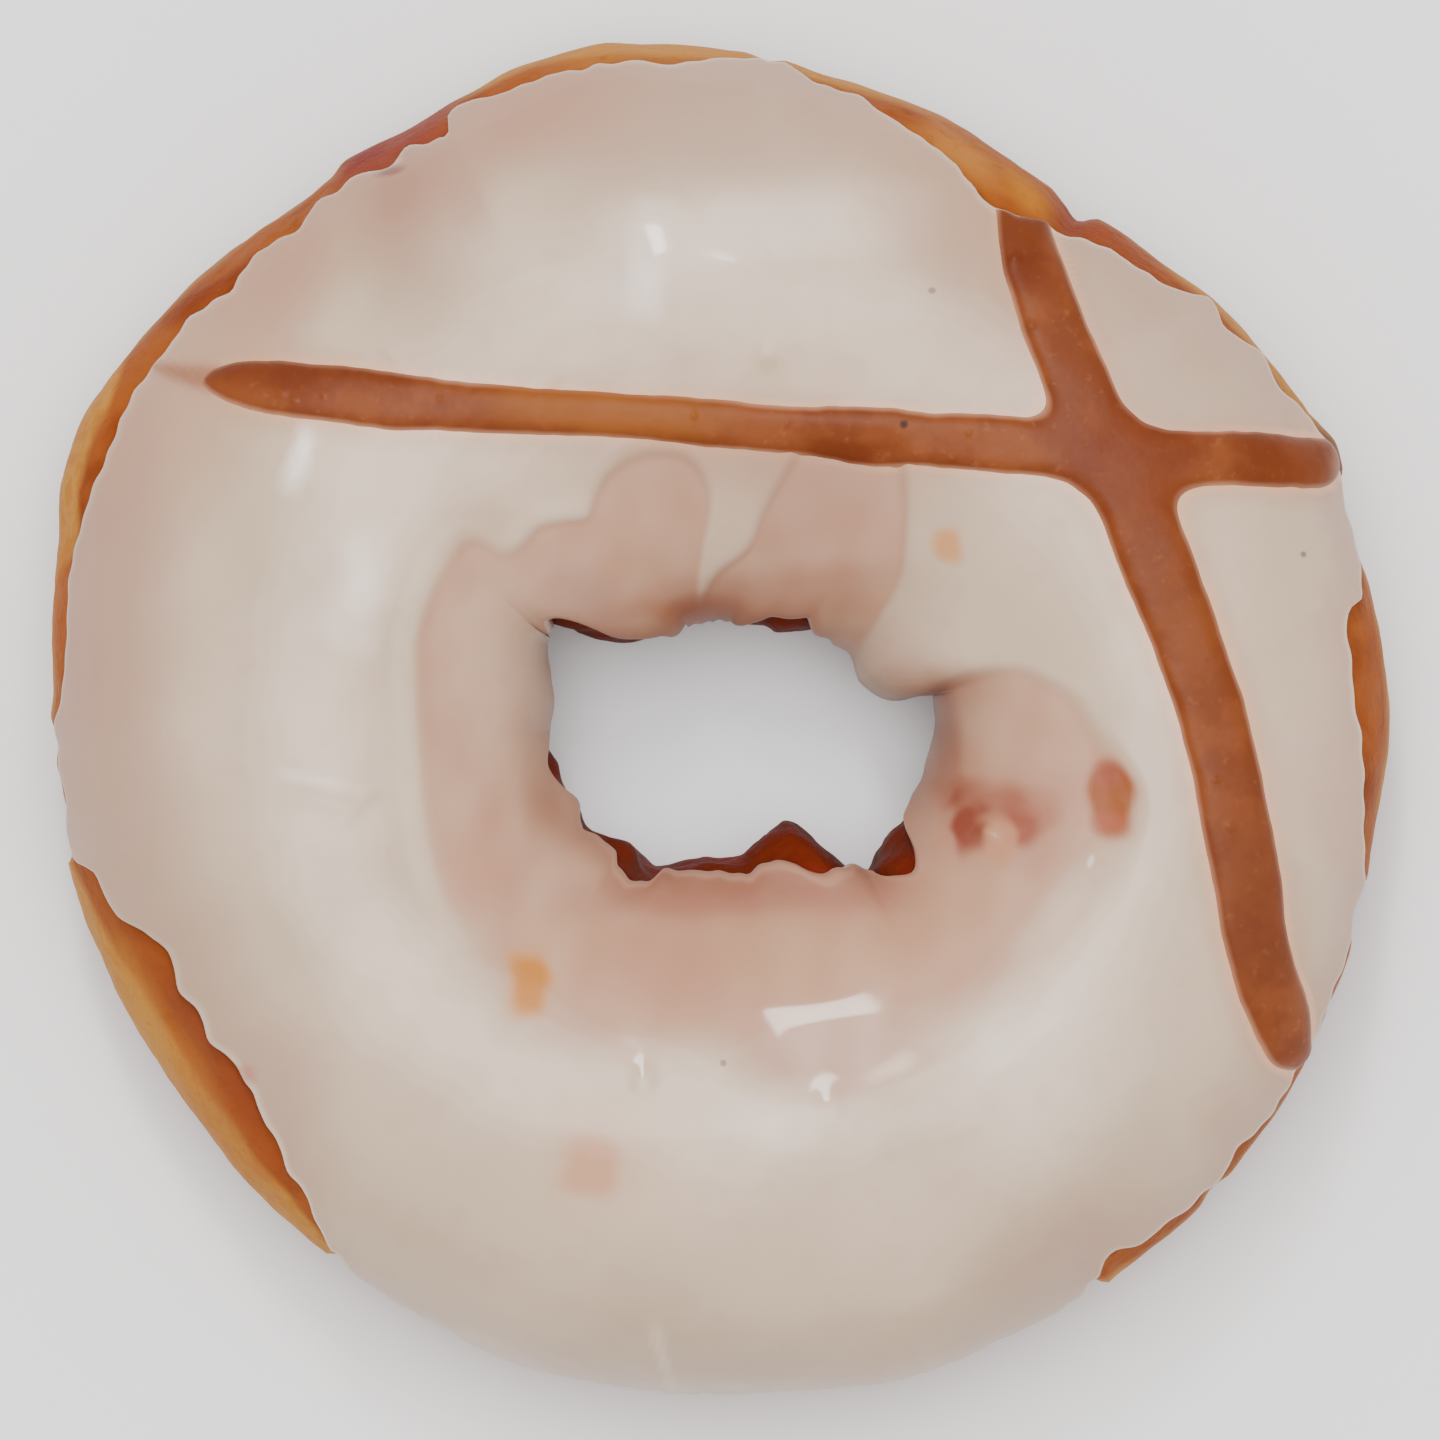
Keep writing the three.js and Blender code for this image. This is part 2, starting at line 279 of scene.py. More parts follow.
class Shader:
    # a new material with methods that add its nodes
    def __init__(self, name):
        self.material = bpy.data.materials.new(name)
        self.material.use_nodes = True
        self.tree = self.material.node_tree
        self.tree.nodes.clear()
        self.object = self.node("TexCoord", {}, {}, "Object")

    def node(self, kind, settings, inputs, output=0):
        # kind is a type's name after ShaderNode; the settings come before each input's value or link
        made = self.tree.nodes.new("ShaderNode" + kind)
        for key, value in settings.items():
            setattr(made, key, value)
        for key, value in inputs.items():
            if isinstance(value, Wire):
                self.tree.links.new(value.socket, made.inputs[key])
            else:
                made.inputs[key].default_value = value
        return None if output is None else Wire(self, made.outputs[output])

    def field(self, name, output="Fac"):
        # a value or a colour that the mesh holds for each point
        settings = {"attribute_type": "GEOMETRY", "attribute_name": name}
        return self.node("Attribute", settings, {}, output)

    def noise(self, size, detail=2.0, roughness=0.5):
        # about 0 to 1, with lumps of the size in millimetres
        inputs = {"Vector": self.object, "Scale": 1 / (size * mm), "Detail": detail, "Roughness": roughness}
        return self.node("TexNoise", {}, inputs, "Fac")

    def step(self, value, low, high):
        # smooth 0 to 1 as value goes from low to high
        inputs = {"Value": value, "From Min": low, "From Max": high}
        return self.node("MapRange", {"interpolation_type": "SMOOTHSTEP"}, inputs)

    def blend(self, factor, a, b):
        # colour a where the factor is 0, b where it is 1
        a, b = ((*c, 1.0) if isinstance(c, tuple) else c for c in (a, b))
        return self.node("Mix", {"data_type": "RGBA"}, {0: factor, 6: a, 7: b}, 2)

    def bump(self, height, depth):
        # height in 0..1 stands depth millimetres
        return self.node("Bump", {}, {"Height": height, "Distance": depth * mm, "Strength": 1.0})

    def spot(self, x, y, halfX, halfY, turn, soft, ragged):
        # 1 inside an ellipse in plan, 0 outside it; its edge is soft parts of its size wide on both
        # sides, and the ragged wire shifts it, less on a large spot
        place = self.node("Mapping", {"vector_type": "TEXTURE"}, {
            "Vector": self.object, "Location": (x * mm, y * mm, 0), "Rotation": (0, 0, turn * degree),
            "Scale": (halfX * mm, halfY * mm, 1e3)})
        reach = self.node("VectorMath", {"operation": "LENGTH"}, {0: place}, "Value")
        return self.step(reach + ragged * min(0.8, 0.5 / min(halfX, halfY)), 1 + soft, 1 - soft)

    def paint(self, colour):
        # the piece's own painted spots over the colour
        return self.blend(self.field("cover"), colour, self.field("tint", "Color"))

    def finish(self, inputs):
        # the material, its surface given these inputs
        shade = self.node("BsdfPrincipled", {}, inputs)
        self.node("OutputMaterial", {}, {"Surface": shade}, None)
        return self.material


dough = {
    # mean radii of the outline, the crown and the hole, the last two by the parts that wave takes
    "outerMean": 48,
    "crownWave": [29.4, 0.7, -0.9, 1.2],
    "holeWave": [10.9, 1.5, -1.6, 2.6],
    "waistHeight": 13.9,
    "halfHeight": 15.2,
    "boxiness": 2.3,  # power of the superellipse
    "detailPower": 3,
    # radius of the outline and of the hole, as [angle, radius]
    "outline": [
        [0, 47.6], [6, 47.4], [10, 47.2], [15, 47.1], [20, 47.5], [24, 48.1], [26, 47.6], [28, 47.2],
        [35, 46.6], [40, 46.2], [47, 45.2], [51, 44.9], [53, 44.6], [54.5, 43.6], [56.3, 44.1],
        [58.5, 44.7], [62, 44.9], [72, 46], [78, 46.3], [82, 46.7], [86, 47.4], [90, 47.8], [95, 48.3],
        [100, 48.9], [106, 48.8], [112, 48.2], [118, 47.8], [124, 48.1], [126, 47.6], [128, 47.6],
        [134, 48.1], [140, 48.9], [148, 49.8], [152, 50.2], [156, 50.45], [160, 50.2], [165, 48.95],
        [172, 48.3], [178, 47.65], [182, 48], [186, 47.4], [189.5, 47.9], [192, 47.7], [196, 47.6],
        [206, 47.4], [213, 47.1], [218, 47], [224, 47.5], [230, 47.4], [234, 47.5], [236, 48.3],
        [240, 48.05], [246, 48], [253, 48.4], [262, 48.2], [268, 48.4], [275, 48.3], [287, 48.9],
        [293, 48.9], [298, 49.1], [301, 49.1], [303.5, 49], [306, 48.6], [312, 48.8], [322, 48.6],
        [328, 48.6], [332, 48.5], [336, 48.1], [341, 48], [344, 48], [347, 47.5], [352, 47.3]],
    "hole": [
        [0, 16.4], [4, 16.3], [8, 16.25], [11, 15.5], [14, 14.45], [18, 13.1], [24, 12.3], [30, 11.3],
        [40, 10.1], [50, 8.3], [60, 7.1], [75, 7.05], [81, 7.6], [88, 7.8], [96, 8], [107, 8], [113, 7.9],
        [120, 7.4], [127, 7.4], [135, 7.95], [142, 9], [146, 10.4], [148.4, 12.3], [150.6, 14.2],
        [156, 14.7], [162, 14.3], [168, 13.6], [175, 13.2], [184, 13.3], [189, 12.85], [200, 12.1],
        [209, 12.1], [218, 12.4], [226, 11.6], [234, 10.9], [245, 11.6], [250, 11.2], [258, 10.2],
        [264, 9.7], [270, 9.8], [277, 9.8], [286, 9.15], [294, 8.65], [300, 8.6], [304, 9.1], [307, 10.9],
        [309.5, 13.5], [314, 14.9], [320, 14.6], [330, 14.7], [336, 15.4], [342, 15.8], [352, 16.2]],
    "rings": 720,
    "rows": 110,
    "wrinkle": 0.1,
    "wrinkleLengths": [7, 3],
    "crumple": 0.3,  # on the wall inside the hole
    "crumpleLength": 4,
    "crumpleFacing": [0.2, 0.9],  # how far the wall faces the hole where they begin and are full
    "crumpleFade": 6,  # height below which they fade
    "footFade": 3,
    "mostLift": 0.22,
    "paintFade": [12, 16],  # heights between which the spots fade in
    # width in plan of the golden band above the waist, as [angle, width]
    "gold": [
        [0, 0.1], [12, 0.1], [25, 0.2], [32, 0.5], [48, 0.4], [52, 0], [66, 0], [76, 0.5], [95, 0.8],
        [108, 0.4], [112, 0.2], [116, 0], [125, 0], [131, 0.1], [148, 0.1], [151, 0.9], [154, 1.4],
        [164, 1.4], [169, 0.2], [185, 0], [192, 0.2], [195, 0.6], [200, 1.2], [206, 1.9], [218, 2],
        [227, 1.6], [235, 0.6], [298, 0.4], [303, 0.6], [308, 0.1], [330, 0], [350, 0.1]],
    "colours": {
        "pale": (0.42, 0.16, 0.016),
        "paleLight": (0.52, 0.235, 0.04),
        "crust": (0.3, 0.072, 0.01),
        "crustDark": (0.19, 0.032, 0.004),
        "shadow": (0.14, 0.02, 0.008),
        # the wall inside the hole: red brown, made darker as painted shade of the hole
        "inside": (0.13, 0.016, 0.006),
        "insideRedAndShade": (0.185, 0.013, 0.007),
    },
    # sizes of the noise in the finish, depth of its relief, and shine
    "lumpSize": 8,
    "grainSize": 1.3,
    "fineSize": 0.45,
    "reliefSize": 2.4,
    "reliefDepth": 0.5,
    "roughness": 0.55,
    "specular": 0.03,
    # x, y, half widths, turn, softness, colour, strength
    "spots": [
        (-23.6, 41.6, 4.8, 2, 27, 0.6, (0.225, 0.042, 0.027), 0.9),
        (-25.5, 40.3, 1.6, 0.5, 30, 0.6, (0.19, 0.02, 0.018), 0.8),
        (20.6, 39.4, 7, 1.8, -36, 0.6, (0.31, 0.076, 0.01), 0.85),
        (25.3, 35.7, 2.2, 1.5, -40, 0.6, (0.21, 0.028, 0.004), 0.9),
        (29, 33.5, 3, 1.2, -35, 0.6, (0.25, 0.046, 0.006), 0.8),
        (2, 48.5, 12, 1.6, 2, 0.8, (0.49, 0.2, 0.032), 0.6),
        (-46.8, 7, 1.6, 5, 5, 0.8, (0.38, 0.1, 0.012), 0.5),
        (-37.2, -26.6, 9, 2.6, -55, 0.8, (0.38, 0.125, 0.02), 0.5),
        (-35.2, -24.4, 10, 1.3, -55, 0.7, (0.19, 0.04, 0.016), 0.8),
        (16.8, 40.4, 3.2, 1.1, -36, 0.8, (0.44, 0.165, 0.03), 0.85),
        (21.6, 37.4, 1.8, 0.8, -42, 0.8, (0.46, 0.17, 0.012), 0.7),
        (-33.2, -29.6, 3.6, 0.9, -54, 0.8, (0.24, 0.04, 0.01), 0.7),
        (-40.9, -22, 1, 4.6, 24, 0.9, (0.5, 0.23, 0.035), 0.55),
        (44.2, 18.6, 1.4, 3, 20, 0.6, (0.13, 0.045, 0.025), 0.8)],
}

outline, doughHole = closedCurve(dough["outline"]), closedCurve(dough["hole"])
goldWidth = closedCurve(dough["gold"])


def doughOutline(angle):
    # outline, less the icing's thickness where it hangs over the waist
    covered = 1 - ramp(bareRim(angle), 0, icing["overhangRamp"])
    return outline(angle) - (icing["gap"] + icing["coat"] * (1 - icing["coatSlump"])) * covered


def doughPoint(angle, side):
    # ring of superellipse section: side 0 is the outer waist and 90 degrees the crown. The side's cosine
    # and sine are stretched until their powers sum to one. The first sets the radius, with its cube for
    # the outline's detail, and the second the height, cut off flat at the floor
    c, s = np.cos(side), np.sin(side)
    reach = (np.abs(c) ** dough["boxiness"] + np.abs(s) ** dough["boxiness"]) ** (-1 / dough["boxiness"])
    across = reach * c
    crown = wave(angle, dough["crownWave"])
    mean = np.where(across > 0, dough["outerMean"], wave(angle, dough["holeWave"]))
    edge = np.where(across > 0, doughOutline(angle), doughHole(angle))
    radius = crown + np.abs(mean - crown) * across + (edge - mean) * np.abs(across) ** dough["detailPower"]
    height = np.maximum(0, dough["waistHeight"] + dough["halfHeight"] * reach * s)
    return np.stack([radius * np.cos(angle), radius * np.sin(angle), height], -1)


def doughNormal(angle, side, step=2 * degree):
    # cross product of a step round the ring and a step up the section
    around = doughPoint(angle + step, side) - doughPoint(angle - step, side)
    up = doughPoint(angle, side + step) - doughPoint(angle, side - step)
    normal = np.cross(around, up)
    return normal / np.linalg.norm(normal, axis=-1, keepdims=True)


def doughMaterial():
    # brown crust, golden band, spots, specks, shade beside the icing and the red brown wall of the hole,
    # made darker as painted shade
    s, c = Shader("friedDough"), dough["colours"]
    lumps = s.noise(dough["lumpSize"], detail=3.0, roughness=0.6)
    grain = s.noise(dough["grainSize"], detail=3.0, roughness=0.6)
    fine = s.noise(dough["fineSize"])
    band = s.step(s.field("inGold") + (lumps - 0.5) * 1.2, -0.35, 0.35)
    band = band * s.step(s.field("height") + (lumps - 0.5) * 5.0, 5.5, 9.5)
    crust = s.blend(s.step(lumps, 0.4, 0.68), c["crust"], c["crustDark"])
    pale = s.blend(s.step(grain, 0.35, 0.7), c["pale"], c["paleLight"])
    colour = s.paint(s.blend(band * 0.92, crust, pale))
    colour = s.blend(s.step(grain, 0.56, 0.74) * 0.3, colour, c["crustDark"])
    colour = s.blend(s.step(s.field("toIcing"), 1.1, 0.1) * 0.6, colour, c["shadow"])
    # the wall facing the hole: its red brown made darker as painted shade
    inner = s.step(s.field("inner"), 0.15, 0.75)
    wallBrownAndShade = s.blend(s.step(lumps, 0.45, 0.65), c["inside"], c["insideRedAndShade"])
    colour = s.blend(inner * 0.95, colour, wallBrownAndShade)
    broad = s.noise(dough["reliefSize"], detail=4.0, roughness=0.6)
    relief = s.bump(broad * 0.6 + grain * 0.3 + fine * 0.1, dough["reliefDepth"])
    return s.finish({"Base Color": colour, "Roughness": dough["roughness"] + (grain - 0.5) * 0.25,
                     "Normal": relief, "Specular IOR Level": dough["specular"]})


def makeDough():
    # the section carried round the ring, with wrinkles, and crumples on the wall of the hole, lifted
    # along the normals by swells; none reaches through the icing or below the foot
    rings, rows = dough["rings"], dough["rows"]
    angle, side = np.meshgrid(evenAngles(rings), evenAngles(rows), indexing="ij")
    points = doughPoint(angle, side)
    height = points[..., 2]
    lift = dough["wrinkle"] * twoSwells(points, dough["wrinkleLengths"], seed=1, second=0.5)
    lift += (dough["crumple"] * ramp(-np.cos(side), *dough["crumpleFacing"])
             * swell(points, dough["crumpleLength"], seed=3) * ramp(height, 0, dough["crumpleFade"]))
    lift = np.minimum(lift * ramp(height, 0, dough["footFade"]), dough["mostLift"])
    points = points + doughNormal(angle, side) * lift[..., None]
    height = points[..., 2]
    inset = doughOutline(angle) - np.hypot(points[..., 0], points[..., 1])
    fromRim = np.where(side > math.pi, side - 2 * math.pi, side)
    fromHole = np.where(side < math.pi / 2, side + 2 * math.pi, side)
    toIcing = np.where(np.cos(side) > 0, rimSide(angle) - fromRim, fromHole - holeSide(angle))
    fields = {
        "inner": ramp(-np.cos(side), 0.0, 1.0),
        "height": height,
        "inGold": goldWidth(angle) - np.where(height > dough["waistHeight"], inset, 0),
        "toIcing": toIcing * icing["sectionRadius"],
        **painted(points, dough["spots"]),
    }
    fields["cover"] *= ramp(height, *dough["paintFade"])
    makePiece("doughRing", points, ringFaces(rings, rows), fields, "dough", doughMaterial())
    print("dough made")


icing = {
    "gap": 0.35,  # between dough and icing
    "coat": 1.5,  # thickness of the thick coat on the crown
    "coatSlump": 0.3,  # share missing at the waist
    "thin": 0.9,
    "edgeRounding": 1.2,
    "rimReach": 1.0,  # how far an edge stands out past where it leaves the dough
    "holeReach": 0.7,
    "sectionRadius": 17,
    "edgeEase": 0.6,
    "ragged": 0.1,
    "raggedLengths": [2.2, 6],
    "raggedRadii": [47, 12],  # circles along which the rim's and the hole's are read
    "overhangRamp": 0.6,
    "levelRim": 20 * degree,
    "levelHole": 165 * degree,
    # dough left bare outside the icing, as [angle, width]; below zero the icing passes the waist
    "bareRim": [
        [0, 2.2], [5, 2.5], [8.5, 2.5], [9.8, 2.2], [10.8, 0.9], [14, 0.5], [20, 0.3], [23, 0.7],
        [25, 0.8], [27.5, 0.5], [31.5, 1.1], [34, 0.6], [38, 1.3], [40.5, 0.7], [42, 1.5], [44, 2],
        [50, 2.4], [52, 2.8], [54, 2.7], [57, 3.2], [60, 4.2], [62, 4.4], [64, 4], [68, 3.1], [70, 2.9],
        [72, 2.5], [76, 1.6], [78, 1], [81, 1.2], [86, 0.4], [90, 0.8], [94, 1.3], [104, 1.1], [110, 0.9],
        [112.5, 0.6], [114.2, 0.6], [115.2, 1.8], [117.2, 1.5], [119, 1.3], [121, 1.7], [123.6, 1.3],
        [128, 0.9], [131, 1.6], [135, 1.3], [139, 1.9], [143, 1.4], [147, 1.6], [152, 1.7], [157, 2],
        [161, 1.6], [166, 0.9], [173, 1.1], [178, 0.8], [182, 0.3], [185, 0.6], [189, 0.3], [192, 0.4],
        [194, 1.6], [198, 2.1], [200.5, 3.7], [203, 4.5], [206, 4.1], [209, 4.4], [212, 4.1], [215, 4.5],
        [218, 4.3], [221, 3.8], [224, 3.5], [226, 2.7], [229, 2.3], [232, 1.1], [235, 0.2], [243, -0.5],
        [250, -0.8], [286, -0.8], [296, -0.5], [302, -0.3], [304.5, 0.6], [306, 1.2], [309, 0.8],
        [312, 0.9], [316, 0.4], [320, 0.7], [326, 0.5], [332, 0.4], [338, 0.5], [344, 0.2], [348, 0.9],
        [353, 1.4], [357, 1.9]],
    "bareHole": [
        [0, -0.5], [35, -0.5], [43, -0.1], [47, 0.2], [50, 0.7], [54, 1.4], [60, 1.2], [70, 0.6], [78, 0],
        [88, -0.2], [112, -0.2], [118, -0.1], [124, 0.2], [130, 0.5], [136, 0.7], [139.5, 1.1], [142, 2],
        [144, 2.8], [146, 3.3], [147.6, 2.9], [149, 1.1], [151, 0.2], [155, -0.2], [162, -0.4],
        [184, -0.5], [190, 0.2], [197, 0.9], [203, 0.6], [210, 0.2], [216, 0.6], [220, 0.8], [224, 0.7],
        [228, 1], [232, 1.4], [235, 2.2], [239, 2.2], [243, 1.8], [247, 1.5], [251, 0.8], [256, 1],
        [262, 1.1], [270, 1.1], [277, 1.3], [283, 1.5], [290, 1.5], [296, 2.2], [302, 3.2], [306, 2.5],
        [309, 1], [313, 1], [317, 2.1], [321, 2.9], [325, 2.2], [329, 0.8], [331, 0.3], [336, -0.1],
        [344, -0.3], [352, -0.5]],
    # inner border of the thick coat in plan
    "coatBorder": [
        [9.5, 4.5], [8.8, 2.4], [11, 0.6], [14.6, 0.2], [15.2, 2.4], [17.2, 3.7], [21.5, 3.8],
        [24.2, 2.4], [25.8, 0.9], [27.4, -2.1], [29, -5.6], [27.9, -9.4], [24.3, -15.1], [19.9, -19.5],
        [15.3, -22.9], [10.9, -26.6], [4.4, -26.8], [1.4, -24.9], [-0.4, -23.2], [-7.1, -23.9],
        [-11.5, -23.1], [-14.8, -20.4], [-17.5, -16.5], [-19.1, -14.2], [-20.9, -10.1], [-21.9, -4.4],
        [-22.2, 3.1], [-22.1, 5.9], [-21.2, 8.9], [-20.1, 10.9], [-18.8, 12.6], [-17.5, 12.9],
        [-15.9, 12.1], [-14.6, 12.7], [-13.2, 14], [-11.4, 14.5], [-9.8, 14.8], [-9.2, 16.1],
        [-8.3, 17.6], [-6.6, 18.8], [-4.4, 19.2], [-2.4, 18.8], [-1.2, 17.3], [-0.9, 15.4], [-1.5, 12.7],
        [-1.9, 9.6], [-0.3, 11.4], [2, 13], [2.9, 15.2], [4.9, 18.4], [6.5, 20], [12, 19.8], [13.1, 17.1],
        [13.3, 13.5], [12.8, 10], [10.4, 5.9]],
    # width of the step in thickness at that border and of the change in colour, as [angle, width]
    "stepWidth": [
        [0, 1.9], [20, 1.3], [40, 1.1], [132, 1.1], [142, 1.4], [152, 2.1], [175, 3.2], [200, 5.5],
        [225, 14], [262, 14], [275, 8], [310, 9], [335, 6], [345, 4]],
    "borderWidth": [
        [0, 1.8], [20, 1], [40, 0.6], [132, 0.6], [142, 0.8], [152, 1.1], [175, 1.4], [200, 2.4],
        [225, 4], [320, 4], [345, 2.5]],
    # raised lip where the border's step is narrower than the first width, full at the second
    "lip": {"height": 0.04, "place": 0.6, "width": 0.7, "stepWidths": [2.0, 0.8]},
    "sag": {"arc": [21, 8], "side": 172, "sideWidth": 32, "lift": 1.5},
    "ripple": 0.04,
    "rippleLengths": [13, 6],
    # arcs of the hole's lower and upper edge and of the painted light along the coat: middle, half width
    "lowerArc": [268, 48],
    "upperArc": [93, 50],
    "borderLight": {"arc": [175, 42], "place": 0.8, "width": 0.8, "strength": 0.55},
    "sheen": 0.32,
    "sheenSides": [158, 138],  # sides of the section between which it fades in from the hole
    "sheenGreens": [0.08, 0.24],  # green of the colours on which it begins and is full
    # low lumps and dents: x, y, half width along and across, turn, height
    "lumps": [
        (-4.6, 33.2, 1.6, 3, 0, 0.15), (-8.6, 33.9, 2.2, 2.2, 0, 0.1), (2.5, 31.5, 5, 2.6, 0, 0.08),
        (7.9, -20.9, 2.6, 1.1, 8, 0.06), (-28.6, -5.4, 2.2, 0.8, -14, 0.1),
        (-30, 19.3, 0.9, 2.2, -12, 0.1), (13.2, -25.6, 2.4, 0.8, 22, 0.1), (-4.6, -23, 2.2, 2.2, 0, 0.1),
        (7.6, -27.7, 0.9, 1.1, 0, 0.15), (-5.6, -25.8, 0.7, 0.8, 0, 0.2),
        (-16.8, -22.2, 1.4, 1.8, 10, 0.08), (3.4, 26.6, 1.2, 1.4, 20, 0.07), (-24.8, 9.5, 3, 2, 60, 0.1),
        (3.5, -20, 4, 3, 0, 0.14), (-24.4, 39.35, 1.1, 0.22, 19, 0.3), (-23.7, 38.75, 1.1, 0.4, 15, -0.4),
        (-12, 24.5, 0.9, 0.5, 60, 0.08), (3.2, 25.9, 0.6, 0.6, 0, 0.1), (-23.6, 26.2, 0.3, 1, 35, 0.06),
        (-4.2, -45.4, 2, 0.25, 105, 0.06), (16.4, -42.2, 3.4, 0.35, 62, -0.06),
        (19.5, -8.4, 0.45, 0.45, 0, 0.45)],
    # x, y, half widths, turn, softness, colour, strength
    "spots": [
        (-13, 43.2, 6, 3, 12, 0.9, (0.44, 0.185, 0.11), 0.8),
        (-22.5, 38, 4, 3, 32, 0.9, (0.42, 0.2, 0.125), 0.6),
        (-31, 33.5, 3.8, 6.4, -40, 0.9, (0.43, 0.215, 0.13), 0.75),
        (-38.5, 22.5, 5.4, 7.4, -25, 0.9, (0.47, 0.265, 0.165), 0.7),
        (-40.8, -12.5, 5, 9, 20, 0.9, (0.43, 0.275, 0.19), 0.75),
        (-16, -40.2, 10, 4, -20, 0.9, (0.47, 0.325, 0.22), 0.55),
        (1, -45.8, 14, 2.8, 0, 0.9, (0.43, 0.29, 0.2), 0.75),
        (23.5, -39.5, 6.4, 4, 38, 0.9, (0.42, 0.25, 0.175), 0.75),
        (-1.5, 26, 17, 2.8, -3, 0.9, (0.51, 0.32, 0.2), 0.65),
        (2, 17.8, 13.5, 2.2, -4, 0.9, (0.42, 0.23, 0.145), 0.6),
        (6, 14.6, 5, 4, 0, 0.9, (0.38, 0.185, 0.12), 0.5),
        (-17, 12.8, 2.6, 2.6, 0, 0.9, (0.44, 0.24, 0.15), 0.5),
        # painted shade at the hole's top left corner
        (-9.8, 8, 2.8, 2.2, -30, 0.9, (0.34, 0.17, 0.125), 0.65),
        (-13, -3.6, 1.3, 4.8, 5, 0.8, (0.3, 0.13, 0.08), 0.8),
        (2, -17.6, 13.5, 3.6, 3, 0.9, (0.48, 0.235, 0.12), 0.55),
        (16, -13, 3.6, 2.6, 35, 0.9, (0.48, 0.25, 0.135), 0.5),
        (14, 38, 6, 4.6, -20, 0.9, (0.56, 0.34, 0.22), 0.4),
        (19, 27, 3.4, 5.5, -15, 0.9, (0.48, 0.285, 0.185), 0.6),
        (26, 12, 2.2, 6, 22, 0.9, (0.5, 0.33, 0.22), 0.4),
        # painted light: a lighter patch where the crown's top takes a soft reflection
        (2.5, 35, 9.5, 2.6, 4, 0.6, (0.8, 0.64, 0.52), 0.7),
        (3.2, 29.4, 3, 2.4, 0, 0.9, (0.5, 0.33, 0.225), 0.5),
        (0.6, -34, 5, 4, 0, 0.9, (0.68, 0.5, 0.37), 0.5),
        (22.5, -25.2, 5.4, 4.6, 30, 0.9, (0.78, 0.62, 0.5), 0.7),
        # painted light that lightens the shade in the crease at the foot of the coat's step
        (24.6, -12.6, 1, 4.4, -36, 0.8, (0.66, 0.5, 0.38), 0.5),
        (42, -1, 3, 9, 0, 0.9, (0.66, 0.46, 0.34), 0.4),
        (-23.2, 36.4, 2.2, 4, -14, 0.9, (0.33, 0.16, 0.1), 0.55),
        (-20.6, 33.4, 2.4, 5, -30, 0.9, (0.38, 0.2, 0.14), 0.4),
        (-4, 42, 13, 4, 3, 0.8, (0.44, 0.265, 0.185), 0.65),
        (16.5, 33.5, 3.4, 6, 35, 0.8, (0.42, 0.24, 0.15), 0.5),
        (32, 27, 8, 7, -40, 0.8, (0.46, 0.285, 0.2), 0.5),
        (-44, 6, 5, 15, 0, 0.7, (0.4, 0.21, 0.145), 0.7),
        (-14.8, 2.8, 4, 5.6, 0, 0.9, (0.62, 0.42, 0.3), 0.7),
        (-17.2, -10.8, 2, 2.6, 0, 0.8, (0.46, 0.2, 0.12), 0.5),
        (-3.2, -17, 4.4, 3.2, 0, 0.8, (0.42, 0.17, 0.11), 0.5),
        # painted shade along the hole's lower edge
        (-1.5, -12.8, 8, 1.4, 0, 0.8, (0.36, 0.13, 0.08), 0.45),
        (9.5, -13.2, 6, 2, 0, 0.8, (0.42, 0.18, 0.11), 0.4),
        # painted shade along the hole's lower edge
        (5, -12.5, 9, 1.1, 0, 0.8, (0.32, 0.115, 0.07), 0.55),
        (5, 9.2, 7, 1.5, 4, 0.7, (0.3, 0.12, 0.07), 0.5),
        # painted shade at the hole's top edge
        (-0.7, 7.1, 3.6, 1.2, 0, 0.7, (0.26, 0.06, 0.014), 0.85),
        (0.5, 7.9, 3.4, 0.9, 0, 0.8, (0.36, 0.16, 0.11), 0.4),
        (12.6, 3.6, 2.6, 3.2, 0, 0.9, (0.42, 0.26, 0.19), 0.6),
        (15.5, 2.2, 3.4, 1.4, 0, 0.8, (0.38, 0.17, 0.11), 0.45),
        (15.8, -1.4, 1, 3.8, 4, 0.7, (0.27, 0.1, 0.06), 0.8),
        # painted shade at the hole's right edge
        (15.2, -4.6, 2, 1.2, -25, 0.8, (0.3, 0.115, 0.075), 0.7),
        (19, -7, 5.2, 3.4, 0, 0.8, (0.4, 0.165, 0.1), 0.75),
        (19, -6, 3.4, 1.4, -8, 0.6, (0.31, 0.105, 0.06), 0.9),
        (17.8, -7.7, 1.35, 2, 4, 0.4, (0.24, 0.058, 0.032), 0.95),
        (17.2, -7.7, 0.7, 1.5, 4, 0.5, (0.22, 0.045, 0.022), 0.8),
        (21.3, -7.3, 1.5, 1.35, -35, 0.45, (0.28, 0.07, 0.04), 0.95),
        (22, -6.5, 1.5, 0.6, -10, 0.6, (0.34, 0.12, 0.07), 0.6),
        (19.5, -8.8, 1.1, 1.8, -8, 0.4, (0.47, 0.21, 0.11), 0.9),
        # painted highlight on the icing's rim beside the hole
        (14.4, -7.8, 0.9, 2.4, -10, 0.6, (0.44, 0.24, 0.17), 0.7),
        (27.5, -5.4, 2, 3, 4, 0.5, (0.5, 0.22, 0.14), 0.6),
        (27.6, -5.6, 1.6, 2.6, 4, 0.3, (0.27, 0.06, 0.006), 1),
        (27.3, -3.7, 1.2, 0.8, 4, 0.6, (0.3, 0.07, 0.04), 0.7),
        (27.5, -7.3, 1.1, 0.7, 4, 0.6, (0.38, 0.08, 0.035), 0.6),
        (-13.7, -18.6, 1.5, 2.3, 4, 0.4, (0.56, 0.23, 0.05), 0.8),
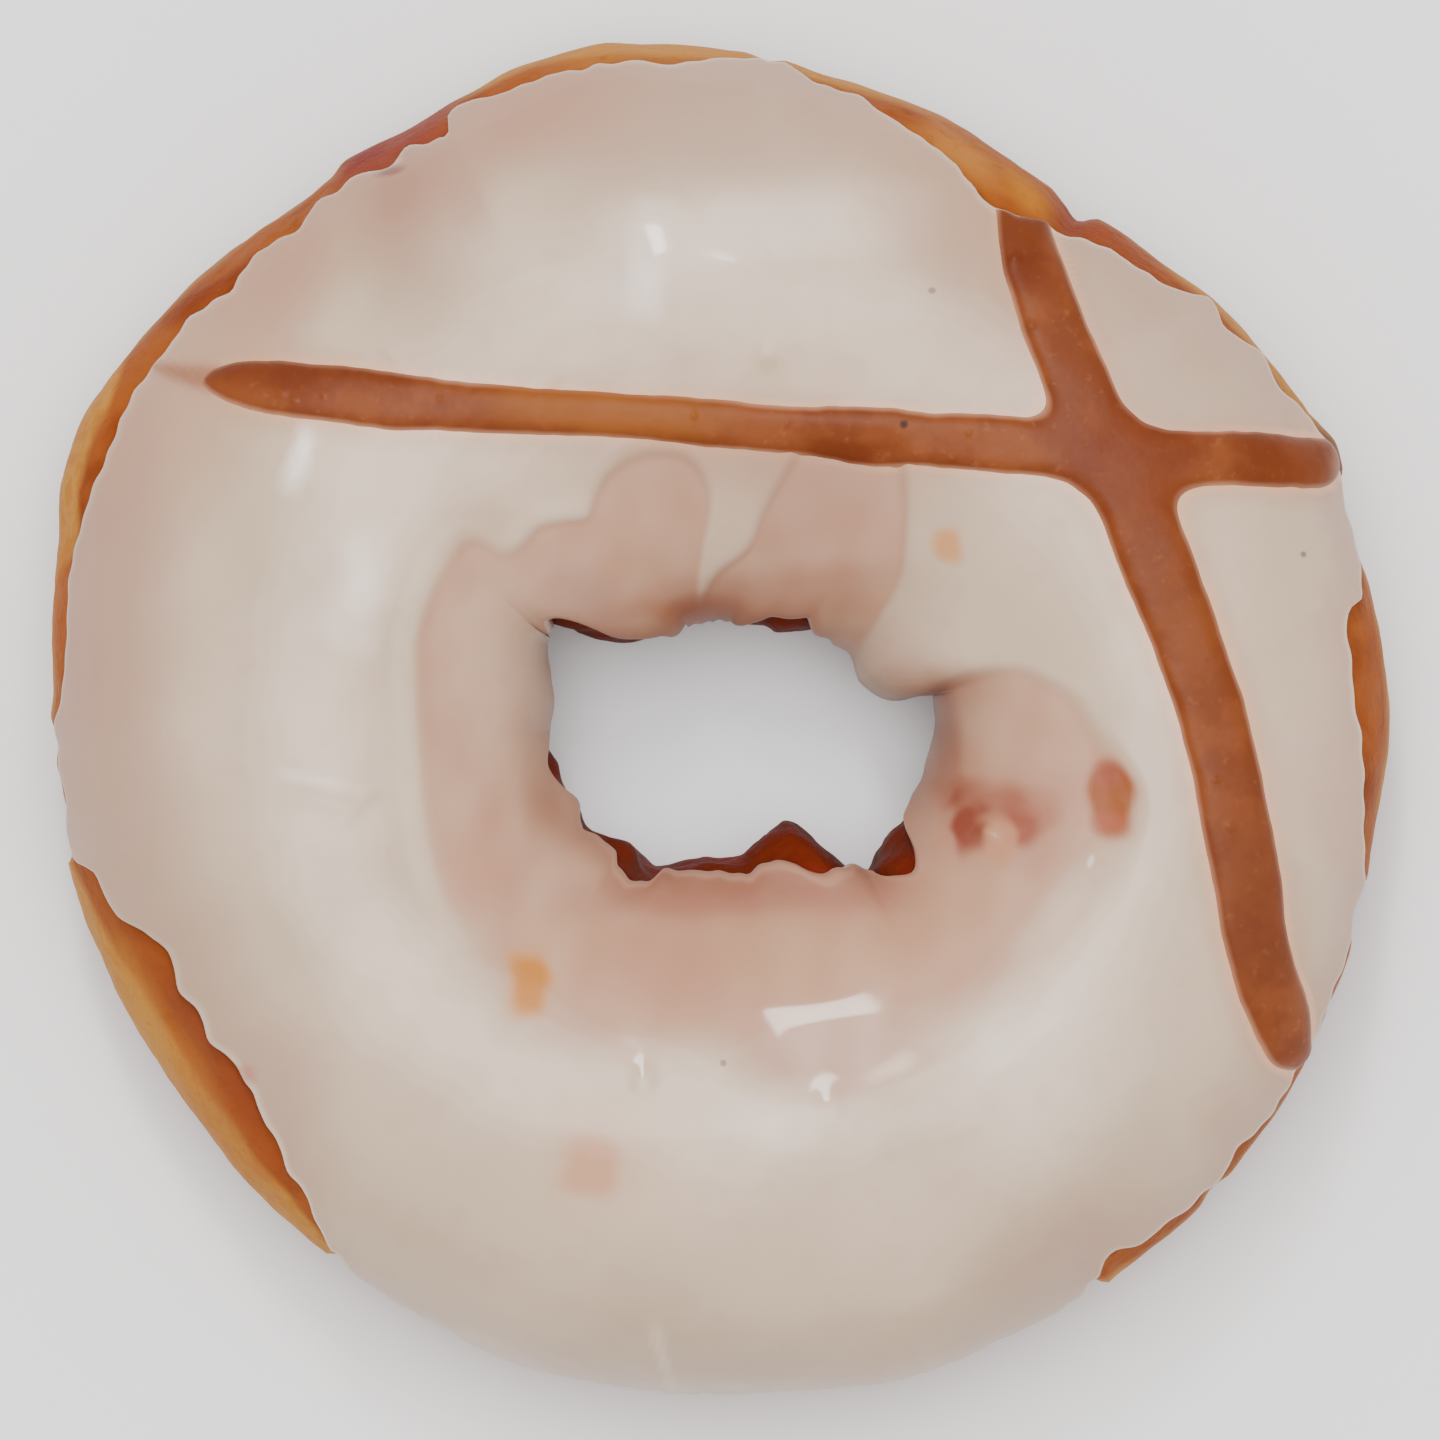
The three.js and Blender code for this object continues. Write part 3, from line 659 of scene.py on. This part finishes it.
        (-13.6, -18.8, 1.1, 1.8, 4, 0.5, (0.48, 0.155, 0.002), 0.95),
        (-8.6, -31, 4.2, 4.4, 0, 0.9, (0.56, 0.34, 0.205), 0.6),
        (-9.3, -31.6, 2, 1.9, 0, 0.5, (0.53, 0.235, 0.12), 0.8),
        (16.1, 12.5, 1.1, 1.3, 0, 0.4, (0.55, 0.245, 0.085), 0.9),
        (-34, -25.1, 0.8, 0.6, 0, 0.5, (0.4, 0.14, 0.09), 0.6),
        # painted highlight: a light streak on the left of the crown
        (-29.9, 18.7, 0.6, 1.9, -20, 0.8, (0.95, 0.86, 0.76), 0.85),
        # painted highlight: a soft light patch on the left of the crown
        (-25.7, 9, 1.5, 3.4, -15, 0.9, (0.86, 0.72, 0.6), 0.6),
        (-30, 4.8, 2.8, 4, 0, 0.9, (0.49, 0.335, 0.23), 0.55),
        # painted highlight above a crease, then painted shade below it along the crease
        (-28.4, -4.4, 2.4, 0.35, -12, 0.9, (0.76, 0.62, 0.5), 0.5),
        (-28.4, -5.3, 2.4, 0.35, -14, 0.9, (0.42, 0.27, 0.18), 0.45),
        (-25.6, -6.5, 0.4, 1.4, -42, 0.9, (0.42, 0.27, 0.18), 0.4),
        (-6, 31.5, 2, 2.2, 0, 0.8, (0.56, 0.4, 0.33), 0.5),
        # painted highlight that draws the top reflection out downwards
        (-5.2, 32.6, 1.3, 3.2, -8, 0.8, (0.84, 0.7, 0.6), 0.6),
        (-2.7, 25.4, 1.6, 1.2, 0, 0.8, (0.42, 0.26, 0.18), 0.5),
        (4, -28.5, 3, 1.7, 10, 0.9, (0.76, 0.6, 0.48), 0.5),
        (13.8, -26, 3.8, 1.6, 25, 0.8, (0.5, 0.32, 0.21), 0.6),
        # painted highlight: a faint arc of reflection below the main one
        (11.9, -24.8, 1.6, 0.5, 25, 0.8, (0.86, 0.66, 0.5), 0.6),
        (14, -44.5, 5, 2.4, 20, 0.8, (0.47, 0.29, 0.18), 0.5),
        (19.8, -43.7, 5.5, 3.4, 53, 0.35, (0.44, 0.3, 0.2), 0.4),
        (-4.25, -45.4, 2, 0.35, 105, 0.8, (0.72, 0.55, 0.42), 0.5)],
    # the same for spots too fine for the mesh, which the material paints
    "crispSpots": [
        # painted highlight: a tiny glint
        (26.15, -10.1, 0.22, 0.45, -20, 0.7, (0.9, 0.8, 0.68), 0.5),
        # painted highlight on the torn fold's ridge, then painted shade in its hollow
        (-24.3, 39.35, 1.5, 0.26, 17, 0.5, (0.62, 0.34, 0.24), 0.85),
        (-23.6, 38.95, 0.95, 0.32, 15, 0.6, (0.2, 0.07, 0.045), 0.85),
        (41.3, 11.7, 0.22, 0.22, 0, 0.4, (0.12, 0.06, 0.04), 0.7),
        (14.9, 30.4, 0.28, 0.22, 0, 0.4, (0.12, 0.06, 0.04), 0.7),
        (0.1, -24.4, 0.22, 0.22, 0, 0.4, (0.12, 0.06, 0.04), 0.7)],
    "rings": 680,
    "topRows": 124,
    "edgeRows": [6, 0.02],  # how much closer rows lie at both edges, and over what share
    "borderRows": [1.2, 0.68, 0.2],  # how much near the coat's border, its place and width
    "underRows": 8,
    # distances from its border at which a colour begins and is full, and its strength
    "reach": {
        "rosy": [9, 1, 0.75],
        "thinDeep": [4, 0, 0.6],
        "halo": [2.2, 0.2, 0.45],
        "haloNear": [0.55, 0.3, 0.8],
        # edge: painted highlight, the icing's outer edge lighter as if it caught the light
        "edge": [1.3, 0.6, 0.7],
        "lowerShade": [4.8, 2.0, 0.65],
        "upperShade": [3.4, 1.2, 0.6],
        # holeLipLight: painted highlight along the lip of the hole's lower edge
        "holeLipLight": [1.8, 1.3, 0.4],
        "smear": [0.6, -0.35, 0.8],
    },
    # lengths of the swells and size of the noise that vary the colour, and shine
    "cloudLengths": [12, 4.5],
    "mottleSize": 2.2,
    "roughness": 0.4,
    "specular": 0.3,
    "coatRoughness": 0.08,
    "colours": {
        "coatLight": (0.62, 0.455, 0.325),
        "coat": (0.52, 0.375, 0.255),
        "rosy": (0.42, 0.245, 0.17),
        # painted highlight along the icing's outer edge
        "edge": (0.72, 0.53, 0.37),
        "thin": (0.51, 0.305, 0.2),
        "thinDeep": (0.44, 0.215, 0.13),
        "halo": (0.5, 0.26, 0.16),
        "haloNear": (0.7, 0.38, 0.22),
        # painted highlight on the lip of the hole's lower edge
        "holeLipLight": (0.6, 0.33, 0.23),
        "lowerShade": (0.27, 0.115, 0.075),
        "upperShade": (0.27, 0.115, 0.075),
        # painted highlight along the coat's border
        "coatRimLight": (0.7, 0.55, 0.4),
        "smear": (0.28, 0.1, 0.045),
    },
}

bareRim, bareHole = closedCurve(icing["bareRim"]), closedCurve(icing["bareHole"])
stepWidth, borderWidth = closedCurve(icing["stepWidth"]), closedCurve(icing["borderWidth"])
coatBorder = smoothPath(icing["coatBorder"], 4, True)


def bareSide(inset, halfWidth):
    # side at which the superellipse stands in by the inset, eased near the waist
    across = 1 - np.abs(inset) ** 3 / (inset ** 2 + icing["edgeEase"] ** 2) / halfWidth
    up = (1 - across ** dough["boxiness"]) ** (1 / dough["boxiness"])
    return np.arctan2(np.sign(inset) * up, across)


def raggedEdge(angle, radius):
    # swells of two lengths along a circle
    circle = np.stack([radius * np.cos(angle), radius * np.sin(angle), np.zeros(np.shape(angle))], -1)
    return icing["ragged"] * twoSwells(circle, icing["raggedLengths"], seed=31, second=1)


def rimSide(angle):
    # side of the icing's outer edge
    inset = bareRim(angle) + icing["rimReach"] + raggedEdge(angle, icing["raggedRadii"][0])
    return bareSide(inset, outline(angle) - wave(angle, dough["crownWave"]))


def holeSide(angle):
    # side of the icing's edge in the hole
    inset = bareHole(angle) + icing["holeReach"] + raggedEdge(angle, icing["raggedRadii"][1])
    return math.pi - bareSide(inset, wave(angle, dough["crownWave"]) - doughHole(angle))


def rowSide(angle, along):
    # level rows round the ring, drawn to the icing's own edges by the cube of the way left
    rim, hole = icing["levelRim"], icing["levelHole"]
    return (rim + (hole - rim) * along + (rimSide(angle) - rim) * (1 - along) ** 3
            + (holeSide(angle) - hole) * along ** 3)


def lumpHeight(x, y):
    # sum of the lumps, each a normal bell in both ways
    total = np.zeros(x.shape)
    for lumpX, lumpY, along, across, turn, height in icing["lumps"]:
        u, v = turned(x - lumpX, y - lumpY, turn)
        total += height * np.exp(-0.5 * ((u / along) ** 2 + (v / across) ** 2))
    return total


def icingSurface(angle, side, leastWidth=0):
    # dough point moved out along its normal by the gap and the icing's thickness: thin inside the
    # coat's border and thick outside it, with the lip, the sag, low swells and lumps, rounded off at
    # both edges by a quarter ellipse; returns points, normals and distances to the border and edges
    base, normal = doughPoint(angle, side), doughNormal(angle, side)
    inCoat = borderDistance(base[..., 0], base[..., 1], coatBorder)
    width = np.maximum(stepWidth(angle), leastWidth)
    coat = ramp(inCoat, -width / 2, width / 2)
    thick = icing["coat"] * (1 - icing["coatSlump"] * np.abs(np.cos(side)))
    lip, sag = icing["lip"], icing["sag"]
    hang = onArc(angle, sag["arc"]) * bell(np.degrees(side) - sag["side"], sag["sideWidth"])
    raised = lip["height"] * ramp(width, *lip["stepWidths"]) * bell(inCoat - lip["place"], lip["width"])
    ripple = icing["ripple"] * twoSwells(base, icing["rippleLengths"], seed=4, second=0.8)
    thickness = icing["thin"] + (thick - icing["thin"]) * coat + sag["lift"] * hang + raised + ripple * coat
    thickness += lumpHeight(base[..., 0], base[..., 1])
    toRim = (side - rimSide(angle)) * icing["sectionRadius"]
    toHole = (holeSide(angle) - side) * icing["sectionRadius"]
    inward = 1 - np.clip(np.minimum(toRim, toHole) / icing["edgeRounding"], 0, 1)
    thickness = thickness * np.sqrt(1 - inward * inward)
    points = base + normal * (icing["gap"] + thickness)[..., None]
    return points, normal, {"inCoat": inCoat, "toRim": toRim, "toHole": toHole}


def icingColour(points, angle, fields):
    # colours by the distances to the coat's border, the rim, the hole, the caramel and the smear, with
    # painted light along the rim and the coat's border and painted shade near the hole; the spots, some of
    # them painted highlights and shade, go over most of them, and the painted shade and painted highlight of
    # the hole's edge and the smear go on last
    c = icing["colours"]
    longer, shorter = icing["cloudLengths"]
    clouds, fine = swell(points, longer, seed=51), swell(points, shorter, seed=52)
    inCoat, toRim, toHole = fields["inCoat"], fields["toRim"], fields["toHole"]
    lower, upper = onArc(angle, icing["lowerArc"]), onArc(angle, icing["upperArc"])

    def laid(colour, name, distance, share=1):
        # the colour of that name laid over, by the reach of that name
        begin, full, strength = icing["reach"][name]
        return mixed(colour, c[name], ramp(distance, begin, full) * share * strength)

    coat = ramp(inCoat / borderWidth(angle) + 0.06 * fine, -0.5, 0.5)
    thick = mixed(c["coatLight"], c["coat"], ramp(clouds, -1.2, 1.4))
    thin = mixed(c["thin"], c["thinDeep"], ramp(fine + 0.5 * clouds, -2.2, 2.6))
    colour = mixed(thin, thick, coat)
    # painted highlight: a lighter band just inside the coat's border
    light = icing["borderLight"]
    lit = bell(inCoat - light["place"], light["width"]) * onArc(angle, light["arc"]) * light["strength"]
    colour = mixed(colour, c["coatRimLight"], lit)
    colour = laid(colour, "rosy", toRim + clouds * 2.4, coat)
    colour = laid(colour, "thinDeep", toHole + clouds * 0.8)
    colour = laid(colour, "halo", fields["toLine"])
    colour = laid(colour, "haloNear", fields["toLine"])
    # painted highlight along the icing's outer edge
    colour = laid(colour, "edge", toRim)
    colour = laid(colour, "lowerShade", toHole + 0.4 * fine, lower)
    paint = painted(points, icing["spots"])
    colour = mixed(colour, paint["tint"], paint["cover"])
    colour = laid(colour, "upperShade", toHole + 0.3 * fine, upper)
    # painted highlight on the lip of the hole's lower edge
    colour = laid(colour, "holeLipLight", toHole, lower)
    return laid(colour, "smear", fields["toSmear"])


def icingMaterial():
    # the mesh's own colours with a little rosy mottling and the crisp spots, under a glossy coat
    s = Shader("fondantIcing")
    fine = s.noise(icing["mottleSize"])
    colour = s.blend(s.step(fine, 0.45, 0.75) * 0.12, s.field("tint", "Color"), icing["colours"]["rosy"])
    for x, y, halfX, halfY, turn, soft, tone, strength in icing["crispSpots"]:
        colour = s.blend(s.spot(x, y, halfX, halfY, turn, soft, fine - 0.5) * strength, colour, tone)
    return s.finish({"Base Color": colour, "Roughness": icing["roughness"] + fine * 0.12,
                     "Specular IOR Level": icing["specular"], "Coat Weight": s.field("sheen"),
                     "Coat Roughness": icing["coatRoughness"]})


def makeIcing():
    # rows lie closest at both edges and where the coat's border runs
    way = np.linspace(0, 1, 2000)
    closer, share = icing["edgeRows"]
    inner, place, width = icing["borderRows"]
    density = 1 + closer * np.exp(-way / share) + closer * np.exp(-(1 - way) / share)
    density = np.cumsum(density + inner * bell(way - place, width))
    along = np.interp(np.linspace(density[0], density[-1], icing["topRows"]), density, way)
    around = evenAngles(icing["rings"])
    angle, row = np.meshgrid(around, along, indexing="ij")
    side = rowSide(angle, row)
    top, _, fields = icingSurface(angle, side)
    fields["toLine"] = caramelDistance(top)
    fields["toSmear"] = lineDistance(top[..., 0], top[..., 1], smear)
    tint = icingColour(top, angle, fields)
    sheen = icing["sheen"] * ramp(np.degrees(side), *icing["sheenSides"])
    sheen *= ramp(tint[..., 1], *icing["sheenGreens"])
    back = np.linspace(1, 0, icing["underRows"] + 2)[1:-1]
    angle, row = np.meshgrid(around, back, indexing="ij")
    side = rowSide(angle, row)
    under = doughPoint(angle, side) + doughNormal(angle, side) * icing["gap"]
    points = np.concatenate([top, under], 1)
    fields = {"tint": np.concatenate([tint, np.broadcast_to(icing["colours"]["thin"], under.shape)], 1),
              "sheen": np.concatenate([sheen, np.zeros(under.shape[:2])], 1)}
    faces = ringFaces(icing["rings"], points.shape[1])
    makePiece("fondantIcing", points, faces, fields, "fondant_icing", icingMaterial())
    print("icing made")


caramel = {
    # middle of each line, as [x, y, half width]
    "across": [
        [-36.3, 24, 0.5], [-35.5, 24, 1], [-34.2, 23.85, 1.5], [-31.5, 23.5, 1.95], [-28, 23.1, 2],
        [-24.2, 22.65, 2.03], [-18, 22.1, 1.77], [-12, 21.75, 1.62], [-7.1, 21.5, 1.57], [-1, 21, 1.7],
        [5, 20.45, 1.67], [8, 20.3, 1.9], [11, 20, 2.12], [14.5, 19.8, 1.92], [19.2, 19.55, 2.05],
        [24, 19.1, 2.05], [29.1, 18.6, 2.05], [33, 18.4, 2], [37, 18.5, 1.92], [42.2, 18.2, 1.82]],
    "down": [
        [20.9, 37.5, 1.6], [21.4, 35, 1.85], [22, 32.5, 2.1], [22.8, 30, 2.2], [24, 26.85, 2.3],
        [25.2, 23.85, 2.35], [27.3, 19, 2.45], [29.4, 14.9, 2.6], [30.45, 11.95, 2.6], [31.7, 8.95, 2.55],
        [32.85, 6, 2.45], [33.9, 3, 2.45], [34.9, 0, 2.45], [35.6, -3, 2.4], [36.2, -5.95, 2.42],
        [36.75, -8.95, 2.45], [37.3, -11.9, 2.42], [37.75, -14.9, 2.3], [38.5, -17.9, 2.3],
        [39.6, -20.9, 2.2], [40.3, -23.3, 1.7]],
    "fillet": 2.4,
    "uneven": 0.06,
    "unevenLengths": [5, 2],
    "rise": 0.55,
    "slope": 0.9,
    "swell": 0.05,
    "swellLength": 5,
    "bubbleRise": 0.5,  # part of its radius
    "margin": 0.45,  # how far the mesh goes on outside the lines
    "rimInset": 0.5,
    "evenBorder": 2.5,  # least width of the coat's step below the lines
    "depth": 0.6,
    "fromAngle": -40,
    "toAngle": 152,
    "rings": 1000,
    "rows": 192,
    "lowestSide": 118 * degree,
    "smear": [[-40.6, 25.2, 0.15], [-38.6, 24.6, 0.5], [-36.2, 24.15, 0.85]],
    "bubbles": [  # x, y, radius
        (-31.1, 23, 0.35), (-30.3, 22.6, 0.25), (-28.2, 22.9, 0.2), (20.7, 32.6, 0.4), (21.8, 27.8, 0.35),
        (33.9, 19.6, 0.22), (35.8, 9.4, 0.25), (34.9, -4.3, 0.22), (35.9, -7.6, 0.3), (-20, 22.7, 0.2),
        (-2, 21.6, 0.22), (4.6, 21, 0.2), (17.5, 20.3, 0.2), (37.4, -12.1, 0.2), (38.9, -17.5, 0.2)],
    "colours": {
        "light": (0.215, 0.054, 0.014),
        "fleck": (0.3, 0.1, 0.035),
        "mid": (0.16, 0.036, 0.01),
        "side": (0.44, 0.2, 0.115),
    },
    # sizes of the noise in the finish, depth of its relief, and shine
    "lumpSize": 4.5,
    "grainSize": 0.8,
    "reliefSize": 2.2,
    "reliefDepth": 0.1,
    "roughness": 0.42,
    "specular": 0.12,
    # x, y, half widths, turn, softness, colour, strength
    "spots": [
        (29.3, 18.3, 4.5, 4.5, 0, 0.5, (0.13, 0.022, 0.005), 0.6),
        (21.2, 34.4, 2, 3.4, -14, 0.5, (0.1, 0.016, 0.003), 0.6),
        (40, 18.6, 3.4, 2.4, 0, 0.5, (0.12, 0.022, 0.003), 0.5),
        (-8.7, 21.9, 8, 1.6, -3, 0.6, (0.27, 0.078, 0.012), 0.8),
        (33.2, 6, 2.4, 8, 17, 0.8, (0.155, 0.033, 0.004), 0.4),
        (37.7, -12, 2.6, 7, 10, 0.8, (0.13, 0.034, 0.015), 0.55),
        (44.2, 18.4, 0.8, 2.2, 0, 0.8, (0.36, 0.17, 0.11), 0.7),
        (-30, 25, 9, 1.5, -3, 0.6, (0.11, 0.016, 0.003), 0.5),
        (9.2, 18.9, 3, 0.8, 0, 0.6, (0.11, 0.016, 0.003), 0.6),
        (12.9, 20.9, 0.28, 0.28, 0, 0.3, (0.03, 0.008, 0.004), 0.9)],
}

lineAcross, lineDown = smoothPath(caramel["across"], 6, False), smoothPath(caramel["down"], 6, False)
smear = smoothPath(caramel["smear"], 4, False)


def caramelDistance(points):
    # distance in plan to the sides of both lines, with a fillet at their crossing and uneven sides
    uneven = caramel["uneven"] * twoSwells(points, caramel["unevenLengths"], seed=41, second=0.5)
    across, down = (lineDistance(points[..., 0], points[..., 1], line) for line in (lineAcross, lineDown))
    return uneven + joined(across, down, caramel["fillet"])


def caramelMaterial():
    # two browns in patches, paler at the sides, with flecks and the spots over them
    s, c = Shader("caramelLine"), caramel["colours"]
    lumps, grain = s.noise(caramel["lumpSize"], detail=3.0, roughness=0.6), s.noise(caramel["grainSize"])
    colour = s.blend(s.step(lumps, 0.38, 0.64), c["mid"], c["light"])
    colour = s.blend(s.step(s.field("edge"), -0.4, 0.0) * 0.8, colour, c["side"])
    colour = s.paint(s.blend(s.step(grain, 0.6, 0.76) * 0.35, colour, c["fleck"]))
    relief = s.bump(s.noise(caramel["reliefSize"], detail=3.0), caramel["reliefDepth"])
    return s.finish({"Base Color": colour, "Roughness": caramel["roughness"] + grain * 0.1,
                     "Normal": relief, "Specular IOR Level": caramel["specular"]})


def makeCaramel():
    # the icing's surface on a finer grid, raised into a bead by a hyperbolic tangent of the distance
    # inside the lines and sunk outside them, with low swells and a small bell for each bubble
    angle, way = np.meshgrid(np.linspace(caramel["fromAngle"], caramel["toAngle"], caramel["rings"]) * degree,
                             np.linspace(0, 1, caramel["rows"]), indexing="ij")
    rim = rimSide(angle)
    side = rim + (caramel["lowestSide"] - rim) * way
    top, normal, fields = icingSurface(angle, side, caramel["evenBorder"])
    edge = np.maximum(caramelDistance(top), caramel["rimInset"] - fields["toRim"])
    height = caramel["rise"] * np.tanh(-edge * caramel["slope"] / caramel["rise"])
    height += caramel["swell"] * swell(top, caramel["swellLength"], seed=8) * ramp(-edge, 0, 1)
    for x, y, radius in caramel["bubbles"]:
        away = np.hypot(top[..., 0] - x, top[..., 1] - y) / radius
        height += caramel["bubbleRise"] * radius * np.exp(-away * away)
    raised = top + normal * height[..., None]
    bottom = top - normal * caramel["depth"]
    lowest = np.minimum.reduce([edge[:-1, :-1], edge[1:, :-1], edge[:-1, 1:], edge[1:, 1:]])
    faces, used = shellFaces(lowest < caramel["margin"], *angle.shape)
    points = np.concatenate([raised.reshape(-1, 3), bottom.reshape(-1, 3)])[used]
    edges = np.concatenate([edge.ravel(), edge.ravel()])[used]
    fields = {"edge": edges, **painted(points, caramel["spots"])}
    makePiece("caramelLines", points, faces, fields, "fondant_icing", caramelMaterial())
    print("caramel made", len(faces))


stage = {
    "cameraHeight": 2.4,
    "photoWidth": 1440,
    "pixelsPerMillimetre": 14,
    "frameCentre": (-0.14 * mm, -0.07 * mm),
    "clip": (0.01, 30),  # nearest and farthest that the camera sees
    "floorSize": 8.0,
    "floorColour": (0.95, 0.95, 0.95, 1),
    "world": 0.75,
    # azimuth, elevation, distance, width, height, and watts over pi times the area
    "softboxes": [
        (98, 66, 2.6, 0.22, 0.5, 60), (95, 86, 2.6, 0.8, 0.8, 6), (95, 86, 2.65, 1.2, 1.2, 5),
        (95, 86, 2.7, 1.7, 1.7, 4)],
}


def makeStage():
    # pale floor, evenly lit room, softboxes aimed at the ring and a camera straight above it
    half = stage["floorSize"] / 2
    mesh = bpy.data.meshes.new("floor")
    corners = [(-half, -half, 0), (half, -half, 0), (half, half, 0), (-half, half, 0)]
    mesh.from_pydata(corners, [], [(0, 1, 2, 3)])
    mesh.materials.append(Shader("paleFloor").finish({
        "Base Color": stage["floorColour"], "Roughness": 0.9, "Specular IOR Level": 0.0}))
    floor = newObject("floor", mesh)

    world = bpy.data.worlds.new("softRoom")
    world.use_nodes = True
    inputs = world.node_tree.nodes["Background"].inputs
    inputs["Color"].default_value = (1, 1, 1, 1)
    inputs["Strength"].default_value = stage["world"]
    bpy.context.scene.world = world

    for count, (azimuth, elevation, distance, width, height, strength) in enumerate(stage["softboxes"]):
        lamp = bpy.data.lights.new(f"softbox{count}", "AREA")
        lamp.shape, lamp.size, lamp.size_y = "RECTANGLE", width, height
        lamp.energy = strength * width * height * math.pi
        box = newObject(f"softbox{count}", lamp)
        a, e = azimuth * degree, elevation * degree
        box.location = (distance * math.cos(e) * math.cos(a), distance * math.cos(e) * math.sin(a),
                        distance * math.sin(e))
        box.rotation_euler = box.location.to_track_quat("Z", "Y").to_euler()

    camera = newObject("camera", bpy.data.cameras.new("camera"))
    away = stage["cameraHeight"] - dough["waistHeight"] * mm
    frameWidth = stage["photoWidth"] / stage["pixelsPerMillimetre"] * mm
    camera.data.lens = camera.data.sensor_width * away / frameWidth
    camera.data.clip_start, camera.data.clip_end = stage["clip"]
    camera.location = (*stage["frameCentre"], stage["cameraHeight"])
    bpy.context.scene.camera = camera
    print("stage made")


makeDough()
makeIcing()
makeCaramel()
makeStage()
